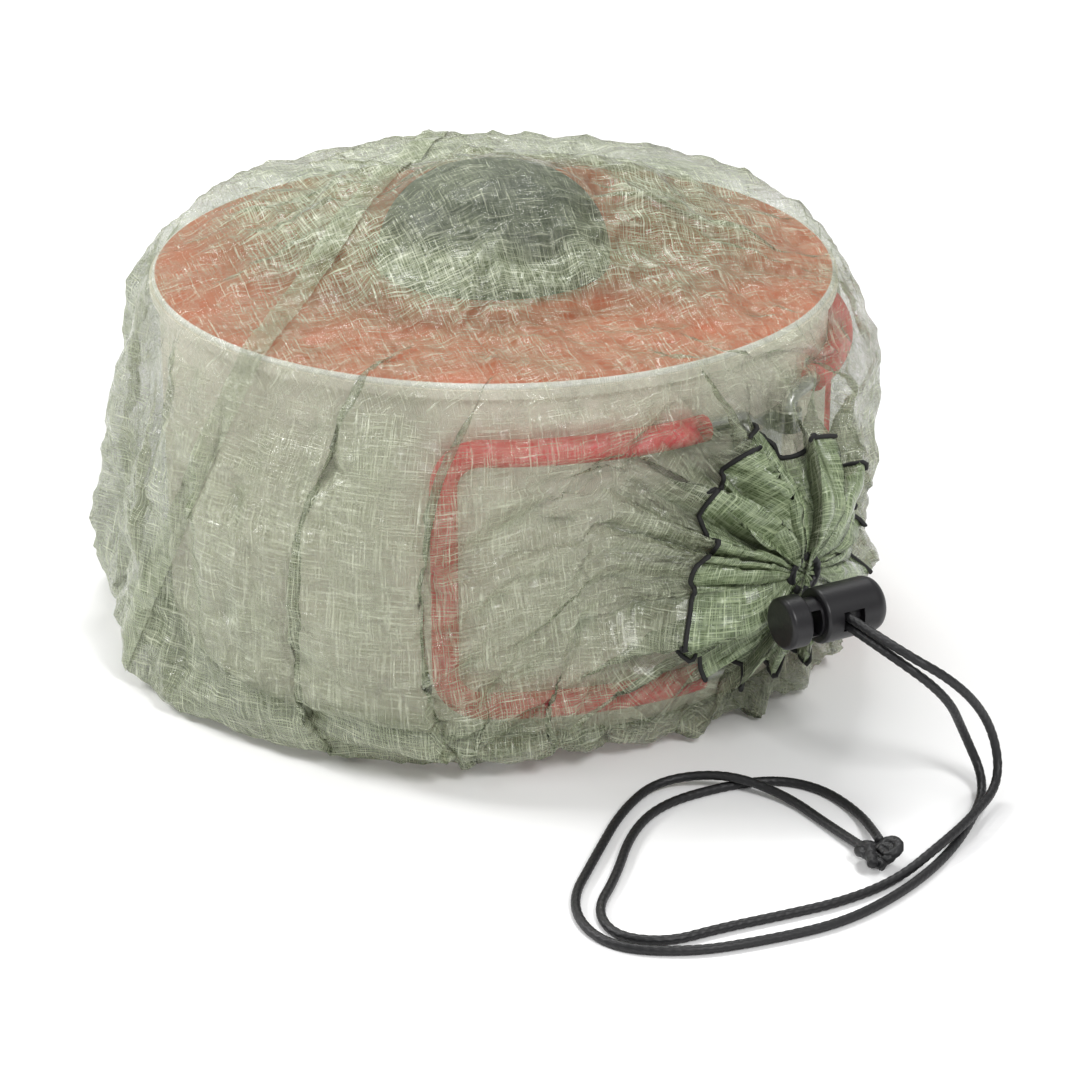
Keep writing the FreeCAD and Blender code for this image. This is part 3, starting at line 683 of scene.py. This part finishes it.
# the stitch line wanders towards and away from the mouth as the cloth is bunched
stitchWander = (0.0085 * np.exp(-(turnGap(u, 0.27) / 0.05) ** 2)
                + 0.0045 * np.exp(-(turnGap(u, 0.62) / 0.035) ** 2)
                - 0.004 * np.exp(-(turnGap(u, 0.44) / 0.03) ** 2))
for cycles, size, phase in ((5, 0.0016, 0.4), (8, 0.0013, 2.1), (13, 0.0012, 4.0), (21, 0.0007, 1.2)):
    stitchWander += size * np.sin(2 * math.pi * (u * cycles + phase)
                                  + 1.3 * np.sin(2 * math.pi * (u * 3 + phase)))
slide = stitchWander * np.exp(-((dist - sack["hemReach"]) / 0.014) ** 2)

# overlaps that run round the mouth: the bunched end lies over the smooth wall
laps = [
    {"at": 0.093, "width": 0.010, "lap": 0.0085, "turn": 0.52, "spread": 0.155, "lift": 0.0030,
     "slope": -0.062},
    {"at": 0.070, "width": 0.007, "lap": 0.0050, "turn": 0.60, "spread": 0.060, "lift": 0.0016,
     "slope": 0.080},
]
lift = np.zeros_like(dist)
for lapFold in laps:
    away = turnGap(u, lapFold["turn"])
    mask = smoothstep(1.4 - np.abs(away) / lapFold["spread"])
    at = lapFold["at"] + lapFold["slope"] * away + 0.0035 * np.sin(19 * away + 1.0)
    x = (dist - at) / lapFold["width"]
    slide += np.where(np.abs(x) < 1, lapFold["lap"] * np.sin(math.pi * x), 0) * mask
    lift += lapFold["lift"] * mask * smoothstep((1 - x) / 2) * np.exp(-np.maximum(0, at - dist) / 0.030)
place = (dist + slide) / meanLength
turned = 2 * math.pi * u + sidestep / np.maximum(0.006, dist * 0.8)
points = pick(hullPoints, turned, place)
normals = pick(hullNormals, turned, place)
shape = points + normals * (height + lift)[..., None]
report("gathers laid out")


def noiseField(where, scale, seed):
    offset = Vector((seed * 3.7, seed * 1.3, seed * 2.1))
    flat = where.reshape(-1, 3)
    return np.array([noise.noise(Vector(p) * scale + offset) for p in flat]).reshape(where.shape[:2])


# sharp-crested noise, like the edges of crushed film
def ridgeField(where, scale, seed):
    return 1 - 2 * np.abs(noiseField(where, scale, seed))


# loose cloth hangs at the closed end; the cloth is calm where it lies on the lid
slackSide = smoothstep((0.02 - points[..., 0] - 0.35 * points[..., 1]) / 0.10)
onTop = smoothstep((points[..., 2] - 0.086) / 0.008)
awayFromMouth = smoothstep((dist - 0.012) / 0.03)
broad = noiseField(points, 22, 1) * 0.0034 * (0.35 + 0.9 * slackSide)
creased = (ridgeField(points, 38, 2) - 0.55) * 0.0036 * (0.30 + 1.1 * slackSide)
hanging = (ridgeField(points * np.array([1.0, 1.0, 0.34]), 52, 6) - 0.5) * 0.0046 * slackSide
shape = shape + normals * ((broad + creased + hanging * (1 - onTop)) * awayFromMouth)[..., None]

# cloth settled over the contents, worked out ten times life size
settling = {"frames": 18, "scale": 10.0, "spare": 0.042, "pull": 0.45, "bending": 1.6, "tension": 35.0,
            "shear": 12.0,
            "mass": 0.30, "clear": 0.007, "cap": 0.013}
insidePoints, insideFaces = contentsMesh()


def settledCloth(grid, hold):
    scale = settling["scale"]
    rows, columns = grid.shape[:2]
    thing = makeMesh("settlingCloth", grid.reshape(-1, 3) * scale, gridFaces(rows, columns), laminate)
    group = thing.vertex_groups.new(name="hold")
    levels = np.round(hold.reshape(-1) * 10).astype(int)
    for level in range(1, 11):
        members = np.nonzero(levels == level)[0].tolist()
        if members:
            group.add(members, level / 10, "REPLACE")
    colliders = [makeMesh("settlingCore", np.array(insidePoints) * scale, insideFaces, laminate),
                 makeMesh("settlingFloor", [(-3, -3, 0), (3, -3, 0), (3, 3, 0), (-3, 3, 0)], [(0, 1, 2, 3)],
                          laminate)]
    for collider in colliders:
        collider.modifiers.new("collision", "COLLISION")
        collider.collision.thickness_outer = settling["clear"]
        collider.collision.cloth_friction = 12
    cloth = thing.modifiers.new("settle", "CLOTH")
    cloth.settings.quality = 6
    cloth.settings.mass = settling["mass"]
    cloth.settings.tension_stiffness = settling["tension"]
    cloth.settings.compression_stiffness = settling["tension"]
    cloth.settings.shear_stiffness = settling["shear"]
    cloth.settings.bending_stiffness = settling["bending"]
    cloth.settings.shrink_min = -settling["spare"]
    cloth.settings.vertex_group_mass = "hold"
    cloth.settings.effector_weights.gravity = settling["pull"]
    cloth.collision_settings.distance_min = settling["clear"]
    cloth.collision_settings.collision_quality = 2
    cloth.point_cache.frame_end = settling["frames"]
    for step in range(1, settling["frames"] + 1):
        scene.frame_set(step)
    result = thing.evaluated_get(bpy.context.evaluated_depsgraph_get()).to_mesh()
    flat = np.empty(len(result.vertices) * 3)
    result.vertices.foreach_get("co", flat)
    scene.frame_set(1)
    for item in [thing] + colliders:
        bpy.data.objects.remove(item, do_unlink=True)
    moved = flat.reshape(rows, columns, 3) / scale - grid
    far = np.linalg.norm(moved, axis=2)[..., None]
    report(f"cloth settled, mean move {far.mean() * 1000:.1f} mm, most {far.max() * 1000:.1f} mm")
    return grid + moved * np.minimum(1, settling["cap"] / np.maximum(far, 1e-9))


def gridFaces(rowsAround, columns, start=0, stop=None):
    stop = columns - 1 if stop is None else stop
    faces = []
    for i in range(rowsAround):
        n = (i + 1) % rowsAround
        for j in range(start, stop):
            faces.append((i * columns + j, n * columns + j, n * columns + j + 1, i * columns + j + 1))
    return faces


underPot = smoothstep((0.074 - np.hypot(points[..., 0], points[..., 1])) / 0.006) * (points[..., 2] < 0.004)
holdMouth = 1 - smoothstep((dist - 0.024) / 0.040)
shape = settledCloth(shape, np.maximum(holdMouth, underPot))

# the back of the rim stands up off the lid, and the film keeps its small hard creases
backRim = (smoothstep((points[..., 1] - points[..., 0]) / 0.09)
           * np.exp(-((points[..., 2] - 0.094) / 0.009) ** 2))
shape[..., 2] += 0.0058 * backRim * smoothstep((np.hypot(points[..., 0], points[..., 1]) - 0.045) / 0.03)
finer = (ridgeField(points, 80, 3) - 0.6) * 0.0013 + (ridgeField(points, 170, 5) - 0.6) * 0.0007
shape = shape + normals * (finer * awayFromMouth)[..., None]

# low tents and a broad lift over the top, kept inside the rim so the outline stays smooth
topRadius = np.hypot(points[..., 0], points[..., 1])
topAngle = np.arctan2(points[..., 1], points[..., 0])
tenting = {
    "swirl": 5.0, "swirlFrom": 0.05, "widen": 1.6, "sharpness": 1.2, "inner": 0.022, "innerFade": 0.016,
    "outer": 0.074, "outerFade": 0.020, "frontAngle": 50, "lift": 0.0042, "liftFrom": 0.75, "liftFade": 0.70,
    "ridge": 60, "ridgeSeed": 8, "ridgeFloor": 0.45, "rumple": 0.0018,
}
tents = np.zeros_like(dist)
for at, wide, tall in ((-2.55, 0.16, 0.0022), (-1.95, 0.10, 0.0012), (-1.30, 0.09, 0.0016),
                       (-0.62, 0.11, 0.0018), (0.05, 0.15, 0.0026), (0.70, 0.13, 0.0022), (1.45, 0.20, 0.0018), (2.30, 0.22, 0.0018),
                       (3.00, 0.15, 0.0020)):
    swing = topAngle - at - tenting["swirl"] * (topRadius - tenting["swirlFrom"])
    swing = (swing + math.pi) % (2 * math.pi) - math.pi
    tents += tall * np.maximum(0, 1 - np.abs(swing) / (wide * tenting["widen"])) ** tenting["sharpness"]
inside = (smoothstep((topRadius - tenting["inner"]) / tenting["innerFade"])
          * smoothstep((tenting["outer"] - topRadius) / tenting["outerFade"]) * onTop)
fromFront = np.abs((topAngle + math.radians(tenting["frontAngle"]) + math.pi) % (2 * math.pi) - math.pi)
broadLift = tenting["lift"] * smoothstep((fromFront - tenting["liftFrom"]) / tenting["liftFade"])
tents = (tents + broadLift) * inside
ridges = ridgeField(points, tenting["ridge"], tenting["ridgeSeed"])
rumple = np.maximum(0, ridges - tenting["ridgeFloor"]) * tenting["rumple"] * inside
shape[..., 2] += tents + rumple

# nothing pokes through: the cloth stays a hair off everything inside
insideTree = BVHTree.FromPolygons(insidePoints, insideFaces)
clearance = 0.0007
standOff = np.zeros(dist.shape)
for i in range(sack["around"]):
    for j in range(sack["along"]):
        here = Vector(shape[i, j])
        near, facing, _, gap = insideTree.find_nearest(here)
        away = (here - near).dot(facing)
        if away < 0 or gap < clearance:
            shape[i, j] = near + facing * clearance
            gap = clearance
        standOff[i, j] = gap
# the haze builds faster over the top than down the wall
hazing = {"wallShare": 0.6, "wallFrom": 0.0012, "wallFade": 0.012, "topFrom": 0.0022, "topFade": 0.0085}
wallHaze = hazing["wallShare"] * smoothstep((standOff - hazing["wallFrom"]) / hazing["wallFade"])
topHaze = smoothstep((standOff - hazing["topFrom"]) / hazing["topFade"])
standOff = wallHaze + (topHaze - wallHaze) * onTop
# valleys of the cloth, found as dips below a smoothed copy: they carry painted shade in the folds and more
# cover where the cloth lies double
smoothed = blur(blur(shape, 7, 0, True), 7, 1, False)
depth = ((smoothed - shape) * normals).sum(2)
foldShadeAndLayering = smoothstep((depth - 0.00015) / 0.0016) * (0.45 + 0.55 * np.exp(-np.maximum(0, dist - 0.03) / 0.05))
shape[..., 2] = np.maximum(shape[..., 2], 0.0004)
around, along = sack["around"], sack["along"]
report("slack cloth shaped")


# the lie of the threads: round and up on the wall, straight across on top, fanned at the mouth
def threadUV(faces):
    ids = np.array(faces)
    where = points.reshape(-1, 3)[ids]
    facing = normals.reshape(-1, 3)[ids].mean(1)
    angle = np.arctan2(where[..., 1], where[..., 0])
    angle = angle[:, :1] + (angle - angle[:, :1] + math.pi) % (2 * math.pi) - math.pi
    wall = np.stack([angle * sack["middle"], where[..., 2]], 2)
    lay = math.radians(27)
    flat = np.stack([where[..., 0] * math.cos(lay) - where[..., 1] * math.sin(lay),
                     where[..., 0] * math.sin(lay) + where[..., 1] * math.cos(lay)], 2)
    share = u.reshape(-1)[ids]
    share = share[:, :1] + turnGap(share, share[:, :1])
    fan = np.stack([share * sack["flatAround"], dist.reshape(-1)[ids]], 2)
    nearMouth = (dist.reshape(-1)[ids].mean(1) < 0.046)[:, None, None]
    upright = (np.abs(facing[:, 2]) > 0.62)[:, None, None]
    return np.where(nearMouth, fan, np.where(upright, flat, wall))


def clothMesh(name, grid, columns, start, stop, material):
    faces = gridFaces(grid.shape[0], columns, start, stop)
    thing = makeMesh(name, grid.reshape(-1, 3), faces, material)
    thing.data.uv_layers.new(name="UVMap").data.foreach_set("uv", threadUV(faces).reshape(-1))
    for label, values in (("standOff", standOff), ("foldShadeAndLayering", foldShadeAndLayering)):
        thing.data.attributes.new(label, "FLOAT", "POINT").data.foreach_set("value", values.reshape(-1))
    loose = bmesh.new()
    loose.from_mesh(thing.data)
    bmesh.ops.delete(loose, geom=[p for p in loose.verts if not p.link_faces], context="VERTS")
    bmesh.ops.recalc_face_normals(loose, faces=loose.faces)
    loose.to_mesh(thing.data)
    loose.free()
    return thing


hemColumn = int(np.searchsorted(dist[0], sack["hemReach"]))
whole = clothMesh("wholeSack", shape, along, 0, along - 1, laminate)

# end seam: the plane that parts the end panel from the main panel
seam = {"yaw": math.radians(32), "tilt": math.radians(25), "reach": 0.070, "half": 0.0028}
seamFacing = Vector((math.cos(seam["yaw"]) * math.cos(seam["tilt"]),
                     math.sin(seam["yaw"]) * math.cos(seam["tilt"]), -math.sin(seam["tilt"])))


# moves a sheet off the one under it, away from the middle of the sack
def raiseSheet(work, offset):
    work.normal_update()
    moves = [(p, p.normal.copy()) for p in work.verts]
    for point, normal in moves:
        away = normal if normal.dot(point.co - Vector(heart)) > 0 else -normal
        point.co += away * offset
        point.co.z = max(point.co.z, 0.0003)


# copy of the cloth kept between two distances from the seam
def cutCopy(source, name, material, low=None, high=None, offset=0.0):
    work = bmesh.new()
    work.from_mesh(source.data)
    for distance, sign in ((low, -1), (high, 1)):
        if distance is None:
            continue
        spot = seamFacing * (distance - seam["reach"])
        everything = work.verts[:] + work.edges[:] + work.faces[:]
        bmesh.ops.bisect_plane(work, geom=everything, plane_co=spot, plane_no=seamFacing * sign,
                               clear_outer=True)
    if offset:
        raiseSheet(work, offset)
    mesh = bpy.data.meshes.new(name)
    work.to_mesh(mesh)
    work.free()
    mesh.materials.append(material)
    mesh.polygons.foreach_set("use_smooth", [True] * len(mesh.polygons))
    thing = bpy.data.objects.new(name, mesh)
    scene.collection.objects.link(thing)
    return thing


sackBody = cutCopy(whole, "sackBody", laminate, low=0.0)
sackEnd = cutCopy(whole, "sackEndPanel", laminate, high=0.0)
seamStrip = cutCopy(whole, "endSeamStrip", laminateSeam, low=-seam["half"], high=seam["half"], offset=0.0005)
hem = clothMesh("channelHem", shape, along, 1, hemColumn, laminateDouble)
hemWork = bmesh.new()
hemWork.from_mesh(hem.data)
raiseSheet(hemWork, 0.0005)
hemWork.to_mesh(hem.data)
hemWork.free()
for piece, node, slot in ((sackBody, "sack_body", "laminate"), (sackEnd, "sack_end_panel", "laminate"),
                          (seamStrip, "end_seam_strip", "laminate_double"),
                          (hem, "drawcord_channel", "laminate_double")):
    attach(piece, "sack")
    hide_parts(node)
    report(f"{piece.name} area {sum(p.area for p in piece.data.polygons):.4f} m2")

# stitch line along the foot of the channel
stitchLine = shape[:, hemColumn] + normals[:, hemColumn] * 0.0010
stitchLine = np.concatenate([stitchLine, stitchLine[:2]])
thread = braidedTube("channelStitching", stitchLine, 0.00058, threadMaterial, pitch=0.004, sides=8)
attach(thread, "sack")
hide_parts("channel_stitching")
ringTurns = np.linspace(-math.pi / 2, 1.5 * math.pi, 28)
ringMiddle = np.array(ringCentre) - mouthAxis * 0.001
ring = [Vector(ringMiddle + (mouthSide * math.cos(a) + upAxis * math.sin(a)) * 0.0040) for a in ringTurns]
ringLine, _ = curveLine(ring, 120)
channelCord = braidedTube("channelCord", ringLine, 0.001, cordMaterial)
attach(channelCord, "sack")
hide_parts("channel_cord")
bpy.data.objects.remove(whole, do_unlink=True)
report("sack pieces made")

# floor and light
floorMaterial, _, floorShader = newMaterial("studioFloor")
floorShader.inputs["Base Color"].default_value = (0.93, 0.93, 0.93, 1)
floorShader.inputs["Roughness"].default_value = 0.9
floor = makeMesh("studioFloor", [(-6, -6, 0), (6, -6, 0), (6, 6, 0), (-6, 6, 0)], [(0, 1, 2, 3)],
                 floorMaterial, False)


def areaLight(name, place, size, power, target=(0, 0, 0.05)):
    data = bpy.data.lights.new(name, "AREA")
    data.shape = "RECTANGLE"
    data.size, data.size_y = size
    data.energy = power
    thing = bpy.data.objects.new(name, data)
    thing.location = place
    thing.rotation_euler = (Vector(target) - Vector(place)).to_track_quat("-Z", "Y").to_euler()
    scene.collection.objects.link(thing)


areaLight("keyLeft", (-1.0, -0.7, 1.0), (0.35, 0.5), 15)
areaLight("keyRight", (1.1, -0.3, 1.1), (0.3, 0.5), 12)
areaLight("backTop", (-0.5, 0.5, 1.3), (0.6, 0.3), 9)
world = bpy.data.worlds.new("studioWorld")
scene.world = world
world.use_nodes = True
background = next(n for n in world.node_tree.nodes if n.type == "BACKGROUND")
background.inputs["Color"].default_value = (1, 1, 1, 1)
seen = world.node_tree.nodes.new("ShaderNodeLightPath")
strength = world.node_tree.nodes.new("ShaderNodeMapRange")   # white behind, softer as light
socketSet(strength, {"To Min": 0.46, "To Max": 1.0})
world.node_tree.links.new(seen.outputs["Is Camera Ray"], strength.inputs["Value"])
world.node_tree.links.new(strength.outputs[0], background.inputs["Strength"])
